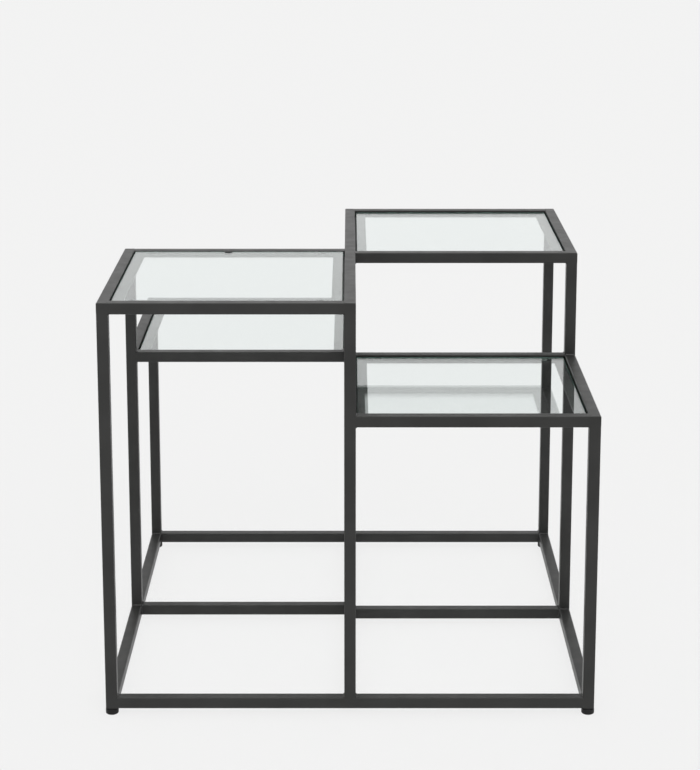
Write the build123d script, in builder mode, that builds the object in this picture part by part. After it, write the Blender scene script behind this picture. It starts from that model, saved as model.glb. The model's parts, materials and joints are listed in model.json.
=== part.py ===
from build123d import *
import os

# Welded table of square tube with four inset glass tops at two heights, in millimetres.
# The origin is on the floor under the middle of the frame, the front faces -Y and the left is at -X.
# The front left and back right tops are high, the back left and front right tops are low.

# Frame
WIDTH = 640.0  # over the outer faces of the tubes, along X
DEPTH = 640.0  # over the outer faces of the tubes, along Y
HIGH_TOP = 555.0  # floor to the upper face of the high rails
LOW_TOP = 407.0  # floor to the upper face of the low rails
TUBE = 15.0  # side of the square tube
TUBE_WALL = 1.2
TUBE_CORNER = 1.6  # outer corner radius of the tube
BORE_CORNER = 0.5  # inner corner radius of the tube
END_PLATE = 1.5  # thickness of the plates that close the ends of the side rails
END_EASE = 0.5  # ground edge of an end plate

# Ledges and glass
LEDGE_WIDTH = 16.0
LEDGE_THICKNESS = 3.0
LEDGE_JOINT = 0.4  # gap between two ledge strips at a corner
GLASS_THICKNESS = 6.0
GLASS_GAP = 1.8  # between the edge of a pane and the tubes round it
GLASS_RECESS = 3.0  # upper face of the rails down to the upper face of the glass
FRONT_LEFT_RECESS = 1.0  # the same at the front left top, whose pane lies higher
GLASS_CORNER = 3.0  # corner radius of a pane, seen from above
GLASS_EASE = 0.8  # polished arris along the edges of a pane
PAD_DIAMETER = 10.0
PAD_THICKNESS = 1.0
PAD_INSET = 30.0  # tube face to the centre of a pad, along its strip

# Feet
FOOT_HEIGHT = 9.0  # floor to the bottom of the legs
FOOT_DIAMETER = 17.0
FOOT_SOLE_ROUND = 1.8
FOOT_RIM_ROUND = 1.4
FOOT_NECK_DIAMETER = 13.0
FOOT_NECK_HEIGHT = 1.2  # keeps the rim clear of the leg
STUD_DIAMETER = 6.0
STUD_REACH = 17.0  # length of the stud above its foot
STUD_ROOT = 5.0  # length of the stud inside its foot
STUD_EASE = 0.8  # chamfer at the upper end of the stud
STUD_SEAT_CLEARANCE = 0.05  # stud to the hole in its foot
THREAD_CLEARANCE = 0.3  # stud to the bore of its insert
INSERT_LENGTH = 20.0
INSERT_CORNER = 1.0

# Centre lines of the tubes, in plan. The rails across the left half lie one tube behind those across
# the right half, so that two posts stand back to back in the middle.
HALF = TUBE / 2
LEFT = HALF - WIDTH / 2
CENTRE = 0.0
RIGHT = WIDTH / 2 - HALF
FRONT = HALF - DEPTH / 2
SEAM = 0.0  # where the two middle posts, and the two high rails over them, meet
MID_RIGHT = SEAM - HALF
MID_LEFT = SEAM + HALF
BACK = DEPTH / 2 - HALF

# Centre lines of the rails, in height
BASE = FOOT_HEIGHT + HALF
HIGH = HIGH_TOP - HALF
LOW = LOW_TOP - HALF

BORE = TUBE - 2 * TUBE_WALL
CORNERS = {
    "front_left": (LEFT, FRONT),
    "front_right": (RIGHT, FRONT),
    "back_left": (LEFT, BACK),
    "back_right": (RIGHT, BACK),
}
# Clear space between the tubes round each top: x from, x to, y from, y to. Then the upper face of the
# rails and the recess of the glass.
TOPS = {
    "front_left": (LEFT + HALF, CENTRE - HALF, FRONT + HALF, MID_LEFT - HALF, HIGH_TOP, FRONT_LEFT_RECESS),
    "front_right": (CENTRE + HALF, RIGHT - HALF, FRONT + HALF, MID_RIGHT - HALF, LOW_TOP, GLASS_RECESS),
    "back_left": (LEFT + HALF, CENTRE - HALF, MID_LEFT + HALF, BACK - HALF, LOW_TOP, GLASS_RECESS),
    "back_right": (CENTRE + HALF, RIGHT - HALF, MID_RIGHT + HALF, BACK - HALF, HIGH_TOP, GLASS_RECESS),
}


def save(piece, name):
    piece.part.label = name
    export_step(piece.part, f"parts/{name}.step")


def square_tube(name, plane, length):
    with BuildPart() as tube:
        with BuildSketch(plane):
            RectangleRounded(TUBE, TUBE, TUBE_CORNER)
            RectangleRounded(BORE, BORE, BORE_CORNER, mode=Mode.SUBTRACT)
        extrude(amount=length)
    save(tube, name)


def upright(name, x, y, bottom, top):
    square_tube(name, Plane((x, y, bottom), x_dir=(1, 0, 0), z_dir=(0, 0, 1)), top - bottom)


def cross_rail(name, y, z, x_from, x_to):
    square_tube(name, Plane((x_from, y, z), x_dir=(0, 1, 0), z_dir=(1, 0, 0)), x_to - x_from)


def side_rail(name, x, z, y_from, y_to):
    square_tube(name, Plane((x, y_from, z), x_dir=(1, 0, 0), z_dir=(0, 1, 0)), y_to - y_from)


def make_uprights():
    under_high = HIGH - HALF
    under_low = LOW - HALF
    on_bottom_rail = BASE + HALF
    upright("leg_front_left", LEFT, FRONT, FOOT_HEIGHT, under_high)
    upright("leg_front_right", RIGHT, FRONT, FOOT_HEIGHT, under_low)
    upright("leg_back_left", LEFT, BACK, FOOT_HEIGHT, under_low)
    upright("leg_back_right", RIGHT, BACK, FOOT_HEIGHT, under_high)
    upright("leg_front_centre", CENTRE, FRONT, on_bottom_rail, under_high)
    upright("leg_back_centre", CENTRE, BACK, on_bottom_rail, under_high)
    upright("leg_mid_left", LEFT, MID_LEFT, on_bottom_rail, under_high)
    upright("leg_mid_right", RIGHT, MID_RIGHT, on_bottom_rail, under_high)
    upright("centre_post_front", CENTRE, MID_RIGHT, on_bottom_rail, under_high)
    upright("centre_post_back", CENTRE, MID_LEFT, on_bottom_rail, under_high)


def make_bottom_rails():
    cross_rail("bottom_rail_front", FRONT, BASE, LEFT + HALF, RIGHT - HALF)
    cross_rail("bottom_rail_back", BACK, BASE, LEFT + HALF, RIGHT - HALF)
    side_rail("bottom_rail_left", LEFT, BASE, FRONT + HALF, BACK - HALF)
    side_rail("bottom_rail_centre", CENTRE, BASE, FRONT + HALF, BACK - HALF)
    side_rail("bottom_rail_right", RIGHT, BASE, FRONT + HALF, BACK - HALF)
    cross_rail("bottom_rail_mid_left", MID_LEFT, BASE, LEFT + HALF, CENTRE - HALF)
    cross_rail("bottom_rail_mid_right", MID_RIGHT, BASE, CENTRE + HALF, RIGHT - HALF)


def make_high_rails():
    """The side rails lie on the legs and run through to plates at their free ends."""
    front_end = FRONT - HALF + END_PLATE
    back_end = BACK + HALF - END_PLATE
    side_rail("front_left_top_left_rail", LEFT, HIGH, front_end, MID_LEFT + HALF - END_PLATE)
    side_rail("front_left_top_right_rail", CENTRE, HIGH, front_end, SEAM)
    cross_rail("front_left_top_front_rail", FRONT, HIGH, LEFT + HALF, CENTRE - HALF)
    cross_rail("front_left_top_back_rail", MID_LEFT, HIGH, LEFT + HALF, CENTRE - HALF)
    side_rail("back_right_top_left_rail", CENTRE, HIGH, SEAM, back_end)
    side_rail("back_right_top_right_rail", RIGHT, HIGH, MID_RIGHT - HALF + END_PLATE, back_end)
    cross_rail("back_right_top_front_rail", MID_RIGHT, HIGH, CENTRE + HALF, RIGHT - HALF)
    cross_rail("back_right_top_back_rail", BACK, HIGH, CENTRE + HALF, RIGHT - HALF)


def make_low_rails():
    """The low rails end against the tall legs, and each outer side rail lies on a short leg."""
    front_end = FRONT - HALF + END_PLATE
    back_end = BACK + HALF - END_PLATE
    side_rail("front_right_top_left_rail", CENTRE, LOW, FRONT + HALF, MID_RIGHT - HALF)
    side_rail("front_right_top_right_rail", RIGHT, LOW, front_end, MID_RIGHT - HALF)
    cross_rail("front_right_top_front_rail", FRONT, LOW, CENTRE + HALF, RIGHT - HALF)
    cross_rail("front_right_top_back_rail", MID_RIGHT, LOW, CENTRE + HALF, RIGHT - HALF)
    side_rail("back_left_top_left_rail", LEFT, LOW, MID_LEFT + HALF, back_end)
    side_rail("back_left_top_right_rail", CENTRE, LOW, MID_LEFT + HALF, BACK - HALF)
    cross_rail("back_left_top_front_rail", MID_LEFT, LOW, LEFT + HALF, CENTRE - HALF)
    cross_rail("back_left_top_back_rail", BACK, LOW, LEFT + HALF, CENTRE - HALF)


def make_end_plates():
    front_face = FRONT - HALF
    back_face = BACK + HALF
    facing_front = [
        (LEFT, front_face, HIGH),
        (CENTRE, front_face, HIGH),
        (RIGHT, front_face, LOW),
        (RIGHT, MID_RIGHT - HALF, HIGH),
    ]
    facing_back = [
        (LEFT, back_face, LOW),
        (CENTRE, back_face, HIGH),
        (RIGHT, back_face, HIGH),
        (LEFT, MID_LEFT + HALF, HIGH),
    ]
    inward_planes = [Plane(point, x_dir=(1, 0, 0), z_dir=(0, 1, 0)) for point in facing_front]
    inward_planes += [Plane(point, x_dir=(1, 0, 0), z_dir=(0, -1, 0)) for point in facing_back]
    outer_faces_y = {point[1] for point in facing_front + facing_back}
    with BuildPart() as plates:
        for plane in inward_planes:
            with BuildSketch(plane):
                RectangleRounded(TUBE, TUBE, TUBE_CORNER)
            extrude(amount=END_PLATE)
        for y in sorted(outer_faces_y):
            chamfer(plates.edges().filter_by_position(Axis.Y, y, y), END_EASE)
    save(plates, "rail_end_plates")


def make_top(name):
    """The ledges, pads and pane that fill the space between the tubes of one top."""
    x_from, x_to, y_from, y_to, rail_face, recess = TOPS[name]
    x_mid = (x_from + x_to) / 2
    y_mid = (y_from + y_to) / 2
    glass_bottom = rail_face - recess - GLASS_THICKNESS
    ledge_top = glass_bottom - PAD_THICKNESS
    strip = LEDGE_WIDTH / 2
    side_length = y_to - y_from - 2 * (LEDGE_WIDTH + LEDGE_JOINT)
    with BuildPart() as ledges:
        with BuildSketch(Plane.XY.offset(ledge_top)):
            with Locations((x_mid, y_from + strip), (x_mid, y_to - strip)):
                Rectangle(x_to - x_from, LEDGE_WIDTH)
            with Locations((x_from + strip, y_mid), (x_to - strip, y_mid)):
                Rectangle(LEDGE_WIDTH, side_length)
        extrude(amount=-LEDGE_THICKNESS)
    save(ledges, f"{name}_ledges")

    pad_line = (GLASS_GAP + LEDGE_WIDTH) / 2
    pad_points = [
        (x, y)
        for x in (x_from + PAD_INSET, x_to - PAD_INSET)
        for y in (y_from + pad_line, y_to - pad_line)
    ]
    with BuildPart() as pads:
        with BuildSketch(Plane.XY.offset(ledge_top)):
            with Locations(pad_points):
                Circle(PAD_DIAMETER / 2)
        extrude(amount=PAD_THICKNESS)
    save(pads, f"{name}_pads")

    with BuildPart() as pane:
        with BuildSketch(Plane.XY.offset(glass_bottom)):
            with Locations((x_mid, y_mid)):
                RectangleRounded(x_to - x_from - 2 * GLASS_GAP, y_to - y_from - 2 * GLASS_GAP, GLASS_CORNER)
        extrude(amount=GLASS_THICKNESS)
        chamfer(pane.faces().filter_by(Axis.Z).edges(), GLASS_EASE)
    save(pane, f"{name}_glass")


def make_foot(name):
    x, y = CORNERS[name]
    with BuildPart() as foot:
        with BuildSketch():
            with Locations((x, y)):
                Circle(FOOT_DIAMETER / 2)
        extrude(amount=FOOT_HEIGHT - FOOT_NECK_HEIGHT)
        fillet(foot.faces().sort_by(Axis.Z)[0].edges(), FOOT_SOLE_ROUND)
        fillet(foot.faces().sort_by(Axis.Z)[-1].edges(), FOOT_RIM_ROUND)
        with BuildSketch(Plane.XY.offset(FOOT_HEIGHT - FOOT_NECK_HEIGHT)):
            with Locations((x, y)):
                Circle(FOOT_NECK_DIAMETER / 2)
        extrude(amount=FOOT_NECK_HEIGHT)
        with Locations((x, y, FOOT_HEIGHT)):
            Hole(STUD_DIAMETER / 2 + STUD_SEAT_CLEARANCE, depth=STUD_ROOT)
    save(foot, f"foot_{name}")

    with BuildPart() as stud:
        with BuildSketch(Plane.XY.offset(FOOT_HEIGHT - STUD_ROOT)):
            with Locations((x, y)):
                Circle(STUD_DIAMETER / 2)
        extrude(amount=STUD_ROOT + STUD_REACH)
        chamfer(stud.faces().sort_by(Axis.Z)[-1].edges(), STUD_EASE)
    save(stud, f"foot_stud_{name}")


def make_inserts():
    """A plug with a threaded bore, flush in the bottom of each corner leg."""
    with BuildPart() as inserts:
        with BuildSketch(Plane.XY.offset(FOOT_HEIGHT)):
            with Locations(list(CORNERS.values())):
                RectangleRounded(BORE, BORE, INSERT_CORNER)
                Circle(STUD_DIAMETER / 2 + THREAD_CLEARANCE, mode=Mode.SUBTRACT)
        extrude(amount=INSERT_LENGTH)
    save(inserts, "leg_inserts")


os.makedirs("parts", exist_ok=True)
make_uprights()
make_bottom_rails()
make_high_rails()
make_low_rails()
make_end_plates()
for top in TOPS:
    make_top(top)
for corner in CORNERS:
    make_foot(corner)
make_inserts()
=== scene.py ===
import json
import math
from functools import partial

import bmesh
import bpy
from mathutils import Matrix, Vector


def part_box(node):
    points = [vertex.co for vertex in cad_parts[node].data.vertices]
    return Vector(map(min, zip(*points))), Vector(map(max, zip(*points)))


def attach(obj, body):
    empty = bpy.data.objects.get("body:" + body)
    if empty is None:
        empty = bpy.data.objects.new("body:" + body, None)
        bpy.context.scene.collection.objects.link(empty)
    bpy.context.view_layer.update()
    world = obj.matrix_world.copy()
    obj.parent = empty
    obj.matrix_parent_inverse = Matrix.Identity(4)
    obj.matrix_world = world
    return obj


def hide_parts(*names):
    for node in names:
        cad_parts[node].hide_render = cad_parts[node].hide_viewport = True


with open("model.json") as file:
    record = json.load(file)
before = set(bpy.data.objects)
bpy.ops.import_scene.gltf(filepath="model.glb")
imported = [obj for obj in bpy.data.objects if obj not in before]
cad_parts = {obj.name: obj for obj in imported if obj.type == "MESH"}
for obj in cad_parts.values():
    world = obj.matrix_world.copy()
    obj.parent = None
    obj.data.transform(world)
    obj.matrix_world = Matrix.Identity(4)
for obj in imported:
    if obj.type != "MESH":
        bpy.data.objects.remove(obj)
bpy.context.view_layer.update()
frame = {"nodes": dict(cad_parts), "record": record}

MM = 0.001
X, Y, Z = AXES = Vector((1, 0, 0)), Vector((0, 1, 0)), Vector((0, 0, 1))

# Camera: a long lens in front of the table, tipped down, in the photograph's frame of 700 by 770
CAMERA_PLACE = (0.0, -2.7795, 1.1408)
CAMERA_TIP = 11.34  # degrees below the horizon
CAMERA_LENS = 93.95
CAMERA_SENSOR = 36.0  # along the picture's longer side
CAMERA_SHIFT = -0.2

# Studio: one pale level for the floor and backdrop, even light, a soft sun and a glow overhead
BACKDROP = (0.889, 0.889, 0.887)
SKY_LIGHT = 0.8
SUN_STRENGTH = 1.0
SUN_ANGLE = 50.0  # degrees across, for soft shadows
SUN_TURN = (38.0, 12.0, 0.0)  # degrees
# What gloss shows, up from the horizon: levels, and the upward shares of a direction between them
SKY_GLOSS = 1.01
WALL_GLOSS = 0.5
GLOW = 2.8
WALL_HEIGHTS = (0.27, 0.4)
GLOW_HEIGHTS = (0.55, 0.95)
FLOOR_ALBEDO = 0.888
FLOOR_SIDE = 60.0
FLOOR_DROP = 0.2 * MM  # below the soles
FLOOR_EVENNESS = 0.9  # share of the floor that keeps the backdrop's level in the shadows

# Black coat: dark and light tone, range of roughness, and shine. The ledges have the same black coat;
# their paler tones are painted light, standing in for the brighter band the ledges show under the
# glass.
FRAME_COAT = ((0.02, 0.02, 0.019), (0.028, 0.028, 0.027)), (0.36, 0.44), 0.3
LEDGE_COAT_PAINTED_LIGHT = ((0.052, 0.052, 0.05), (0.072, 0.072, 0.07)), (0.42, 0.52), 0.28
WELD_COAT = ((0.02, 0.02, 0.019), (0.028, 0.028, 0.027)), (0.2, 0.28), 0.5

# Clear float glass
GLASS_TINT = (0.891, 0.895, 0.899)
GLASS_SHADE = (0.93, 0.96, 0.95)  # what it lets through of the lamps' light
GLASS_BODY = (0.35, 0.72, 0.6)  # the green along the length of a pane
GLASS_DENSITY = 13.0
GLASS_IOR = 1.52
SILICONE_IOR = 1.41

NOISE_RANGE = (0.3, 0.7)  # where nearly all of a noise texture lies
SHARP_ANGLE = 40.0  # degrees, from which two faces of a piece keep a corner between them

# Sections, as the frame has them
TUBE = 15 * MM
TUBE_CORNER = 1.6 * MM
LEDGE_WIDTH = 16 * MM
LEDGE_JOINT = 0.4 * MM
GLASS_CORNER = 3 * MM
GLASS_EASE = 0.8 * MM
PAD_DIAMETER = 10 * MM

# Welds
PROBE = 1 * MM  # how far past a joint the neighbouring tube is looked for
BEAD_LEG = 1.3 * MM
BEAD_RIPPLE = 0.08  # share of the leg
BEAD_PITCH = 1.8 * MM
BEAD_STEPS = 4  # rings in one ripple
BEAD_END = 0.45  # size of a bead at its ends
BEAD_TURNS = [math.radians(18 * k) for k in range(6)]  # a quarter round the root
FILL_CROWN = 0.02 * MM
FILL_TURNS = [math.radians(20 * k) for k in range(5)]  # from a tube's side round its edge
FILL_ARC = 4  # steps round the edge of a tube
STITCH_LENGTH = 18 * MM
STITCHES = 3  # along each side of a ledge
SEAM_CROWN = 0.5 * MM
SEAM_SPREAD = 3  # width of a seam on the underside, in joints

# Soft pads under the glass: share of the radius and of the height, from the bottom up
PAD_PROFILE = [(0.9, 0.0), (0.98, 0.15), (1.0, 0.4), (0.99, 0.7), (0.94, 0.92), (0.88, 1.0)]
PAD_SIDES = 40

# Ground edges of the panes
EDGE_CROWN = 0.03 * MM  # how far the ground face stands out
EDGE_DEPTH = 0.15 * MM  # how deep the frosting reaches
EDGE_ARC = 6  # steps round the corner of a pane

# Thread on the foot studs
THREAD_PITCH = 1 * MM
THREAD_DEPTH = 0.6 * MM
THREAD_SIDES = 32
THREAD_STEPS = 8  # rings in one pitch

# Small black tab on the front left pane
TAB_SIZE = (10.5 * MM, 5 * MM, 0.95 * MM)
TAB_EDGE = 0.8 * MM  # from the pane's back edge
TAB_OFFSET = -15 * MM  # from the middle of that edge
TAB_PROFILE = [(0.95, 0.0), (1.0, 0.2), (1.0, 0.55), (0.95, 0.82), (0.82, 0.97), (0.6, 1.0)]
TAB_SIDES = 48

TOPS = ("front_left", "front_right", "back_left", "back_right")
CORNERS = TOPS


def new_material(name):
    """A material, with its node tree and its main shader."""
    material = bpy.data.materials.new(name)
    material.use_nodes = True
    tree = material.node_tree
    return material, tree, tree.nodes["Principled BSDF"]


def noise(tree, scale, detail=2.0):
    """Noise with a number of grains to the metre, so that its grain keeps one size on every piece."""
    place = tree.nodes.new("ShaderNodeTexCoord")
    texture = tree.nodes.new("ShaderNodeTexNoise")
    texture.inputs["Scale"].default_value = scale
    texture.inputs["Detail"].default_value = detail
    tree.links.new(place.outputs["Object"], texture.inputs["Vector"])
    return texture.outputs["Fac"]


def spread(tree, source, low, high):
    """The source's middle range stretched to run from low to high."""
    stretch = tree.nodes.new("ShaderNodeMapRange")
    stretch.inputs["From Min"].default_value, stretch.inputs["From Max"].default_value = NOISE_RANGE
    stretch.inputs["To Min"].default_value = low
    stretch.inputs["To Max"].default_value = high
    tree.links.new(source, stretch.inputs["Value"])
    return stretch.outputs["Result"]


def two_tone(tree, source, dark, light):
    """A colour that goes from dark to light with the source."""
    blend = tree.nodes.new("ShaderNodeMix")
    blend.data_type = "RGBA"
    blend.inputs["A"].default_value = (*dark, 1.0)
    blend.inputs["B"].default_value = (*light, 1.0)
    tree.links.new(spread(tree, source, 0.0, 1.0), blend.inputs["Factor"])
    return blend.outputs["Result"]


def add_bump(tree, shader, source, strength, depth):
    """Fine relief in the shader's normal, too small to be modelled."""
    bump = tree.nodes.new("ShaderNodeBump")
    bump.inputs["Strength"].default_value = strength
    bump.inputs["Distance"].default_value = depth
    tree.links.new(source, bump.inputs["Height"])
    tree.links.new(bump.outputs["Normal"], shader.inputs["Normal"])


def mix_shaders(tree, share, first, second):
    """The first shader where the share is 0, and the second where it is 1."""
    choice = tree.nodes.new("ShaderNodeMixShader")
    tree.links.new(share, choice.inputs["Fac"])
    tree.links.new(first, choice.inputs[1])
    tree.links.new(second, choice.inputs[2])
    return choice.outputs["Shader"]


def powder_coat(name, tones, roughness, specular):
    """Black powder coat: fine orange peel, slightly uneven in tone and sheen."""
    material, tree, shader = new_material(name)
    tone = two_tone(tree, noise(tree, 18.0), *tones)
    tree.links.new(tone, shader.inputs["Base Color"])
    tree.links.new(spread(tree, noise(tree, 60.0), *roughness), shader.inputs["Roughness"])
    shader.inputs["Specular IOR Level"].default_value = specular
    add_bump(tree, shader, noise(tree, 1300.0, 3.0), strength=0.12, depth=0.15 * MM)
    return material


def clear_glass():
    """Clear float glass: light from the lamps passes, and the green shows through its edges."""
    material, tree, shader = new_material("clear_glass")
    shader.inputs["Base Color"].default_value = (*GLASS_TINT, 1.0)
    shader.inputs["Transmission Weight"].default_value = 1.0
    shader.inputs["IOR"].default_value = GLASS_IOR
    tree.links.new(spread(tree, noise(tree, 9.0), 0.002, 0.008), shader.inputs["Roughness"])
    output = tree.nodes["Material Output"]
    path = tree.nodes.new("ShaderNodeLightPath")
    through = tree.nodes.new("ShaderNodeBsdfTransparent")
    through.inputs["Color"].default_value = (*GLASS_SHADE, 1.0)
    for_lamps = path.outputs["Is Shadow Ray"]
    surface = mix_shaders(tree, for_lamps, shader.outputs["BSDF"], through.outputs["BSDF"])
    tree.links.new(surface, output.inputs["Surface"])
    body = tree.nodes.new("ShaderNodeVolumeAbsorption")
    body.inputs["Color"].default_value = (*GLASS_BODY, 1.0)
    body.inputs["Density"].default_value = GLASS_DENSITY
    tree.links.new(body.outputs["Volume"], output.inputs["Volume"])
    return material


def ground_glass():
    """The frosted green of an edge that is ground and not polished."""
    material, tree, shader = new_material("ground_glass")
    tone = two_tone(tree, noise(tree, 800.0, 3.0), (0.24, 0.38, 0.33), (0.33, 0.48, 0.43))
    tree.links.new(tone, shader.inputs["Base Color"])
    tree.links.new(spread(tree, noise(tree, 1500.0), 0.35, 0.5), shader.inputs["Roughness"])
    shader.inputs["Transmission Weight"].default_value = 0.3
    add_bump(tree, shader, noise(tree, 3000.0), strength=0.2, depth=0.05 * MM)
    return material


def moulded_plastic():
    """Black plastic with the fine grain of its mould."""
    material, tree, shader = new_material("moulded_plastic")
    tone = two_tone(tree, noise(tree, 90.0), (0.006, 0.006, 0.006), (0.01, 0.01, 0.01))
    tree.links.new(tone, shader.inputs["Base Color"])
    tree.links.new(spread(tree, noise(tree, 400.0), 0.42, 0.54), shader.inputs["Roughness"])
    shader.inputs["Specular IOR Level"].default_value = 0.25
    add_bump(tree, shader, noise(tree, 2200.0), strength=0.15, depth=0.1 * MM)
    return material


def soft_silicone():
    """Cloudy clear silicone."""
    material, tree, shader = new_material("soft_silicone")
    tone = two_tone(tree, noise(tree, 300.0), (0.55, 0.57, 0.56), (0.66, 0.68, 0.67))
    tree.links.new(tone, shader.inputs["Base Color"])
    tree.links.new(spread(tree, noise(tree, 500.0), 0.28, 0.38), shader.inputs["Roughness"])
    shader.inputs["Transmission Weight"].default_value = 0.6
    shader.inputs["IOR"].default_value = SILICONE_IOR
    return material


def zinc_plate():
    """Dull zinc plate, as on a stock stud."""
    material, tree, shader = new_material("zinc_plate")
    tone = two_tone(tree, noise(tree, 700.0, 4.0), (0.48, 0.48, 0.47), (0.62, 0.62, 0.6))
    tree.links.new(tone, shader.inputs["Base Color"])
    tree.links.new(spread(tree, noise(tree, 900.0), 0.24, 0.4), shader.inputs["Roughness"])
    shader.inputs["Metallic"].default_value = 1.0
    return material


def link_mesh(name, mesh_source, material):
    """Turns a mesh under construction into an object, smooth but for its real corners."""
    mesh = bpy.data.meshes.new(name)
    bmesh.ops.recalc_face_normals(mesh_source, faces=mesh_source.faces)
    mesh_source.to_mesh(mesh)
    mesh_source.free()
    mesh.materials.append(material)
    mesh.shade_smooth()
    mesh.set_sharp_from_angle(angle=math.radians(SHARP_ANGLE))
    piece = bpy.data.objects.new(name, mesh)
    bpy.context.scene.collection.objects.link(piece)
    return piece


def add_body(mesh_source, rings):
    """A closed body through rings of as many points each, with flat ends."""
    loops = [[mesh_source.verts.new(point) for point in ring] for ring in rings]
    count = len(rings[0])
    for first, second in zip(loops, loops[1:]):
        for i in range(count):
            j = (i + 1) % count
            mesh_source.faces.new((first[i], first[j], second[j], second[i]))
    mesh_source.faces.new(list(reversed(loops[0])))
    mesh_source.faces.new(loops[-1])


def inside(point, box):
    """True if the point lies in the box."""
    low, high = box
    return all(low[k] <= point[k] <= high[k] for k in range(3))


def tube_outline(middle, along, out, travel):
    """A point of a tube's outline, at a distance from the middle of a side, and its way outward."""
    flat = TUBE / 2 - TUBE_CORNER
    if abs(travel) <= flat:
        return middle + along * travel, out
    side = math.copysign(1.0, travel)
    turn = (abs(travel) - flat) / TUBE_CORNER
    reach = along * side * (flat + TUBE_CORNER * math.sin(turn))
    point = middle + reach - out * TUBE_CORNER * (1 - math.cos(turn))
    return point, out * math.cos(turn) + along * side * math.sin(turn)


def straight_line(middle, along, out, travel):
    """The same on a straight line, which has one way outward."""
    return middle + along * travel, out


def add_bead(mesh_source, line, back, length):
    """A rippled fillet weld. The line gives its root and outward direction along its length."""
    steps = BEAD_STEPS * round(length / BEAD_PITCH)
    rings = []
    for step in range(steps + 1):
        travel = length * (step / steps - 0.5)
        root, out = line(travel)
        taper = min(1.0, BEAD_END + (length / 2 - abs(travel)) / BEAD_PITCH)
        leg = BEAD_LEG * taper * (1 + BEAD_RIPPLE * math.cos(math.tau * travel / BEAD_PITCH))
        arc = [root + leg * (math.cos(turn) * out + math.sin(turn) * back) for turn in BEAD_TURNS]
        rings.append([root, *arc])
    add_body(mesh_source, rings)


def fill_section(depth):
    """What a rounded tube edge leaves open beside a flush joint, below a depth.

    Each point says how far it lies outward, and how far in from the joint."""
    start = math.acos(1 - depth / TUBE_CORNER)
    width = TUBE_CORNER * (1 - math.sin(start))
    points = [(-TUBE_CORNER, 0.0), (-depth, 0.0), (FILL_CROWN - depth, width / 2)]
    for k in range(FILL_ARC):
        turn = start + (math.pi / 2 - start) * k / FILL_ARC
        points.append((TUBE_CORNER * (math.cos(turn) - 1), TUBE_CORNER * (1 - math.sin(turn))))
    return points


def add_fill(mesh_source, middle, along, out, into):
    """Weld metal that fills the rounded shoulder beside a flush joint, ground nearly flat."""
    flat = TUBE / 2 - TUBE_CORNER
    ends = [
        (flat + TUBE_CORNER * math.sin(turn), TUBE_CORNER * (1 - math.cos(turn)))
        for turn in FILL_TURNS
    ]
    stations = [(-travel, depth) for travel, depth in reversed(ends)] + ends
    rings = []
    for travel, depth in stations:
        place = middle + along * travel
        rings.append([place + out * high + into * deep for high, deep in fill_section(depth)])
    add_body(mesh_source, rings)


def weld_end(beads, fills, name, boxes, axis, away):
    """Welds one end of a tube to the tube that it stands against, on each side where there is room."""
    low, high = boxes[name]
    end = (low + high) / 2 + away * (high - low)[axis] / 2
    others = [box for other, box in boxes.items() if other != name]
    base = next((box for box in others if inside(end + away * PROBE, box)), None)
    if base is None:
        return
    length = TUBE - 2 * TUBE_CORNER + TUBE_CORNER * math.pi / 2
    for out in (X, -X, Y, -Y, Z, -Z):
        if out[axis]:
            continue
        along = away.cross(out)
        middle = end + out * TUBE / 2
        beyond = middle + (away + out) * PROBE
        beside = middle + (out - away) * PROBE
        if not inside(beyond, base):
            add_fill(fills, middle, along, out, away)
        carried = any(inside(beyond, box) for box in others)
        taken = any(inside(beside, box) for box in others)
        if carried and not taken:
            add_bead(beads, partial(tube_outline, middle, along, out), -away, length)


def weld_tubes(beads, fills, tubes):
    """Welds both ends of every tube."""
    boxes = {name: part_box(name) for name in tubes}
    for name, (low, high) in boxes.items():
        size = high - low
        axis = max(range(3), key=lambda k: size[k])
        for away in (AXES[axis], -AXES[axis]):
            weld_end(beads, fills, name, boxes, axis, away)


def weld_ledges(mesh_source, top):
    """Seams that close the corners of a top's ledges, and stitches between strips and rails."""
    low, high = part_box(f"{top}_ledges")
    half = LEDGE_JOINT / 2
    reach = LEDGE_WIDTH + half
    wide = SEAM_SPREAD * half
    crown = low.z - SEAM_CROWN
    section = [(-half, high.z), (half, high.z), (wide, low.z), (0.0, crown), (-wide, low.z)]
    for y in (low.y + reach, high.y - reach):
        for x in (low.x, high.x - LEDGE_WIDTH):
            rings = [
                [(x + run, y + across, z) for across, z in section]
                for run in (0.0, LEDGE_WIDTH)
            ]
            add_body(mesh_source, rings)
    for k in range(STITCHES):
        share = (k + 0.5) / STITCHES
        x = low.x + (high.x - low.x) * share
        y = low.y + (high.y - low.y) * share
        runs = [
            (Vector((x, low.y, low.z)), X, Y),
            (Vector((x, high.y, low.z)), X, -Y),
            (Vector((low.x, y, low.z)), Y, X),
            (Vector((high.x, y, low.z)), Y, -X),
        ]
        for place, along, inward in runs:
            add_bead(mesh_source, partial(straight_line, place, along, -Z), inward, STITCH_LENGTH)


def make_welds(tubes, paint, weld_paint):
    """The open beads, and the flush welds that are ground level with the tubes."""
    beads = bmesh.new()
    fills = bmesh.new()
    weld_tubes(beads, fills, tubes)
    for top in TOPS:
        weld_ledges(beads, top)
    kinds = (("welds", beads, weld_paint), ("ground_welds", fills, paint))
    for name, mesh_source, material in kinds:
        piece = link_mesh(name, mesh_source, material)
        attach(piece, "frame")


def circle(x, y, z, radius, sides):
    """Points round a level circle."""
    turns = [math.tau * k / sides for k in range(sides)]
    return [(x + radius * math.cos(turn), y + radius * math.sin(turn), z) for turn in turns]


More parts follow.
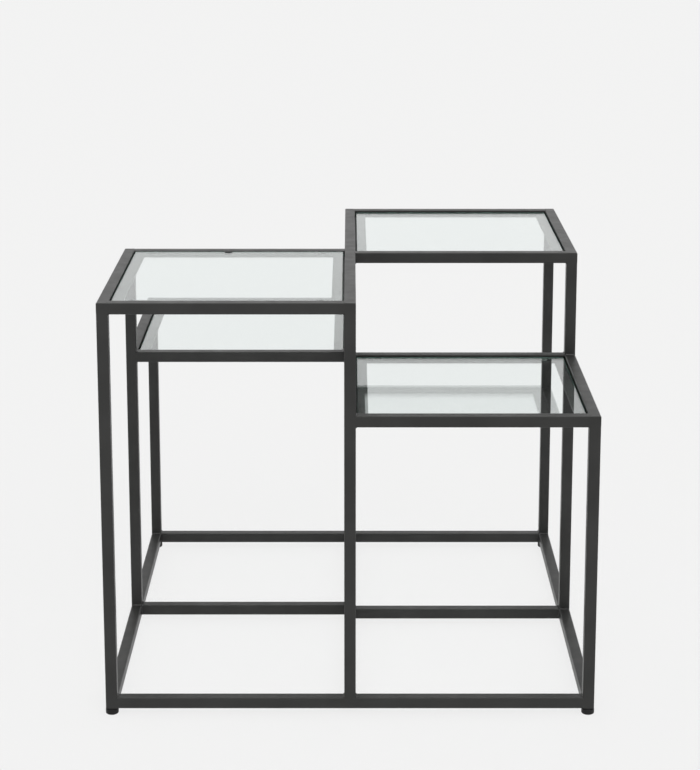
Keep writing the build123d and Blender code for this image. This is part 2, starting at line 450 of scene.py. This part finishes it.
def make_pads(top, material):
    """Clear bumpers, bulging a little under the pane's weight."""
    node = f"{top}_pads"
    low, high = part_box(node)
    radius = PAD_DIAMETER / 2
    mesh_source = bmesh.new()
    for x in (low.x + radius, high.x - radius):
        for y in (low.y + radius, high.y - radius):
            rings = [
                circle(x, y, low.z + (high.z - low.z) * tall, radius * wide, PAD_SIDES)
                for wide, tall in PAD_PROFILE
            ]
            add_body(mesh_source, rings)
    pads = link_mesh(f"bumpers_{top}", mesh_source, material)
    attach(pads, "frame")
    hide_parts(node)


def pane_outline(low, high):
    """Points round a pane with rounded corners, each with its outward direction."""
    corners = ((high.x, high.y), (low.x, high.y), (low.x, low.y), (high.x, low.y))
    points = []
    for quarter, (x, y) in enumerate(corners):
        inward_x = math.copysign(GLASS_CORNER, (low.x + high.x) / 2 - x)
        inward_y = math.copysign(GLASS_CORNER, (low.y + high.y) / 2 - y)
        centre = Vector((x + inward_x, y + inward_y, 0.0))
        for k in range(EDGE_ARC + 1):
            turn = math.pi / 2 * (quarter + k / EDGE_ARC)
            out = Vector((math.cos(turn), math.sin(turn), 0.0))
            points.append((centre + out * GLASS_CORNER, out))
    return points


def make_ground_edges(top, material):
    """The ground band round a pane: its lower arris and its side, up to the clear upper arris."""
    low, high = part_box(f"{top}_glass")
    side_top = high.z - low.z - GLASS_EASE
    section = [
        (-GLASS_EASE, 0.0),
        (EDGE_CROWN, GLASS_EASE),
        (EDGE_CROWN, side_top),
        (-EDGE_DEPTH, side_top),
        (-EDGE_DEPTH, GLASS_EASE + EDGE_DEPTH),
        (-GLASS_EASE, 2 * EDGE_DEPTH),
    ]
    count = len(section)
    mesh_source = bmesh.new()
    loops = []
    for point, out in pane_outline(low, high):
        ring = [point + out * wide + Z * (low.z + tall) for wide, tall in section]
        loops.append([mesh_source.verts.new(corner) for corner in ring])
    for first, second in zip(loops, loops[1:] + loops[:1]):
        for i in range(count):
            j = (i + 1) % count
            mesh_source.faces.new((first[i], first[j], second[j], second[i]))
    edges = link_mesh(f"ground_edges_{top}", mesh_source, material)
    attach(edges, f"pane_{top}")


def make_thread(corner, material):
    """The thread of one foot's stud, as a ridge that winds round its core."""
    node = f"foot_stud_{corner}"
    low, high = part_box(node)
    centre = (low + high) / 2
    radius = (high.x - low.x) / 2
    steps = round((high.z - low.z) / THREAD_PITCH * THREAD_STEPS)
    rings = []
    for step in range(steps + 1):
        z = low.z + (high.z - low.z) * step / steps
        run_out = 1 - min(1.0, (high.z - z) / THREAD_PITCH)
        ring = []
        for k in range(THREAD_SIDES):
            turn = math.tau * k / THREAD_SIDES
            groove = abs(2 * ((z / THREAD_PITCH - k / THREAD_SIDES) % 1.0) - 1)
            reach = radius - THREAD_DEPTH * max(groove, run_out)
            ring.append((centre.x + reach * math.cos(turn), centre.y + reach * math.sin(turn), z))
        rings.append(ring)
    mesh_source = bmesh.new()
    add_body(mesh_source, rings)
    stud = link_mesh(f"thread_{corner}", mesh_source, material)
    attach(stud, f"levelling_foot_{corner}")
    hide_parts(node)


def make_tab(material):
    """A small rounded tab that lies on the front left pane, near the middle of its back edge."""
    low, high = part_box("front_left_glass")
    width, depth, height = TAB_SIZE
    x = (low.x + high.x) / 2 + TAB_OFFSET
    y = high.y - TAB_EDGE - depth / 2
    rings = []
    for wide, tall in TAB_PROFILE:
        ring = []
        for k in range(TAB_SIDES):
            turn = math.tau * k / TAB_SIDES
            across = math.copysign(math.sqrt(abs(math.cos(turn))), math.cos(turn)) * wide
            back = math.copysign(math.sqrt(abs(math.sin(turn))), math.sin(turn)) * wide
            ring.append((x + across * width / 2, y + back * depth / 2, high.z + tall * height))
        rings.append(ring)
    mesh_source = bmesh.new()
    add_body(mesh_source, rings)
    tab = link_mesh("pane_tab", mesh_source, material)
    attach(tab, "pane_front_left")


def dress_nodes(finishes):
    """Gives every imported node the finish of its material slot, and returns the names in each slot."""
    members = {}
    for entry in frame["record"]["subparts"]:
        members.setdefault(entry["material_slot"], []).append(entry["node"])
    for slot, names in members.items():
        for name in names:
            for place in frame["nodes"][name].material_slots:
                place.material = finishes[slot]
    return members


def backdrop_share(tree, path):
    """1 for the rays that show the background: seen straight, in gloss or through glass."""
    total = path.outputs["Is Camera Ray"]
    for name in ("Is Glossy Ray", "Is Transmission Ray"):
        add = tree.nodes.new("ShaderNodeMath")
        add.use_clamp = True
        tree.links.new(total, add.inputs[0])
        tree.links.new(path.outputs[name], add.inputs[1])
        total = add.outputs["Value"]
    return total


def smooth_step(tree, source, span, levels):
    """A level that turns smoothly from the first to the second as the source crosses the span."""
    step = tree.nodes.new("ShaderNodeMapRange")
    step.interpolation_type = "SMOOTHSTEP"
    tree.links.new(source, step.inputs["Value"])
    step.inputs["From Min"].default_value, step.inputs["From Max"].default_value = span
    step.inputs["To Min"].default_value, step.inputs["To Max"].default_value = levels
    return step


def gloss_level(tree):
    """What gloss shows: the backdrop, a dimmer wall above it and the softbox overhead."""
    place = tree.nodes.new("ShaderNodeTexCoord")
    split = tree.nodes.new("ShaderNodeSeparateXYZ")
    tree.links.new(place.outputs["Generated"], split.inputs["Vector"])
    height = split.outputs["Z"]
    wall = smooth_step(tree, height, WALL_HEIGHTS, (SKY_GLOSS, WALL_GLOSS))
    softbox = smooth_step(tree, height, GLOW_HEIGHTS, (WALL_GLOSS, GLOW))
    tree.links.new(wall.outputs["Result"], softbox.inputs["To Min"])
    return softbox.outputs["Result"]


def make_world():
    """Even white light, and a pale backdrop where the background is seen."""
    world = bpy.data.worlds.new("studio")
    bpy.context.scene.world = world
    world.use_nodes = True
    tree = world.node_tree
    path = tree.nodes.new("ShaderNodeLightPath")
    light = tree.nodes["Background"]
    light.inputs["Color"].default_value = (1.0, 1.0, 1.0, 1.0)
    light.inputs["Strength"].default_value = SKY_LIGHT
    shown = tree.nodes.new("ShaderNodeBackground")
    shown.inputs["Color"].default_value = (*BACKDROP, 1.0)
    gloss = tree.nodes.new("ShaderNodeBackground")
    gloss.inputs["Color"].default_value = (1.0, 1.0, 1.0, 1.0)
    tree.links.new(gloss_level(tree), gloss.inputs["Strength"])
    in_gloss = path.outputs["Is Glossy Ray"]
    seen = mix_shaders(tree, in_gloss, shown.outputs["Background"], gloss.outputs["Background"])
    sky = mix_shaders(tree, backdrop_share(tree, path), light.outputs["Background"], seen)
    tree.links.new(sky, tree.nodes["World Output"].inputs["Surface"])


def make_floor():
    """A pale floor at the backdrop's level. A foot that is screwed out shows through it."""
    material, tree, shader = new_material("studio_floor")
    shader.inputs["Base Color"].default_value = (FLOOR_ALBEDO, FLOOR_ALBEDO, FLOOR_ALBEDO, 1.0)
    shader.inputs["Roughness"].default_value = 1.0
    shader.inputs["Specular IOR Level"].default_value = 0.0
    glow = tree.nodes.new("ShaderNodeEmission")
    glow.inputs["Color"].default_value = (*BACKDROP, 1.0)
    clear = tree.nodes.new("ShaderNodeBsdfTransparent")
    path = tree.nodes.new("ShaderNodeLightPath")
    straight = path.outputs["Is Camera Ray"]
    level = mix_shaders(tree, straight, glow.outputs["Emission"], clear.outputs["BSDF"])
    share = tree.nodes.new("ShaderNodeMath")
    share.operation = "MULTIPLY"
    share.inputs[1].default_value = FLOOR_EVENNESS
    tree.links.new(backdrop_share(tree, path), share.inputs[0])
    surface = mix_shaders(tree, share.outputs["Value"], shader.outputs["BSDF"], level)
    tree.links.new(surface, tree.nodes["Material Output"].inputs["Surface"])
    mesh_source = bmesh.new()
    bmesh.ops.create_grid(mesh_source, x_segments=1, y_segments=1, size=FLOOR_SIDE / 2)
    bmesh.ops.translate(mesh_source, vec=(0.0, 0.0, -FLOOR_DROP), verts=mesh_source.verts)
    link_mesh("studio_floor", mesh_source, material)


def make_sun():
    """A broad lamp that lights and shades, without showing as a disc in the glass."""
    data = bpy.data.lights.new("soft_sun", "SUN")
    data.energy = SUN_STRENGTH
    data.angle = math.radians(SUN_ANGLE)
    sun = bpy.data.objects.new("soft_sun", data)
    sun.rotation_euler = [math.radians(turn) for turn in SUN_TURN]
    sun.visible_glossy = False
    sun.visible_transmission = False
    bpy.context.scene.collection.objects.link(sun)


def make_camera():
    data = bpy.data.cameras.new("camera")
    data.sensor_width = CAMERA_SENSOR
    data.lens = CAMERA_LENS
    data.shift_y = CAMERA_SHIFT
    camera = bpy.data.objects.new("camera", data)
    camera.location = CAMERA_PLACE
    camera.rotation_euler = (math.radians(90.0 - CAMERA_TIP), 0.0, 0.0)
    bpy.context.scene.collection.objects.link(camera)
    bpy.context.scene.camera = camera


def main():
    bpy.context.scene.view_settings.view_transform = "Standard"
    plastic = moulded_plastic()
    zinc = zinc_plate()
    silicone = soft_silicone()
    finishes = {
        "frame": powder_coat("powder_coat", *FRAME_COAT),
        # The ledges' paler tones are painted light: they stand in for the brighter band seen on them
        # through the glass.
        "ledge": powder_coat("powder_coat_ledge_painted_light", *LEDGE_COAT_PAINTED_LIGHT),
        "glass": clear_glass(),
        "pad": silicone,
        "foot": plastic,
        "stud": zinc,
        "insert": plastic,
    }
    members = dress_nodes(finishes)
    tubes = [name for name in members["frame"] if name != "rail_end_plates"]
    make_welds(tubes, finishes["frame"], powder_coat("powder_coat_weld", *WELD_COAT))
    ground = ground_glass()
    for top in TOPS:
        make_pads(top, silicone)
        make_ground_edges(top, ground)
    for corner in CORNERS:
        make_thread(corner, zinc)
    make_tab(plastic)
    make_world()
    make_floor()
    make_sun()
    make_camera()


main()
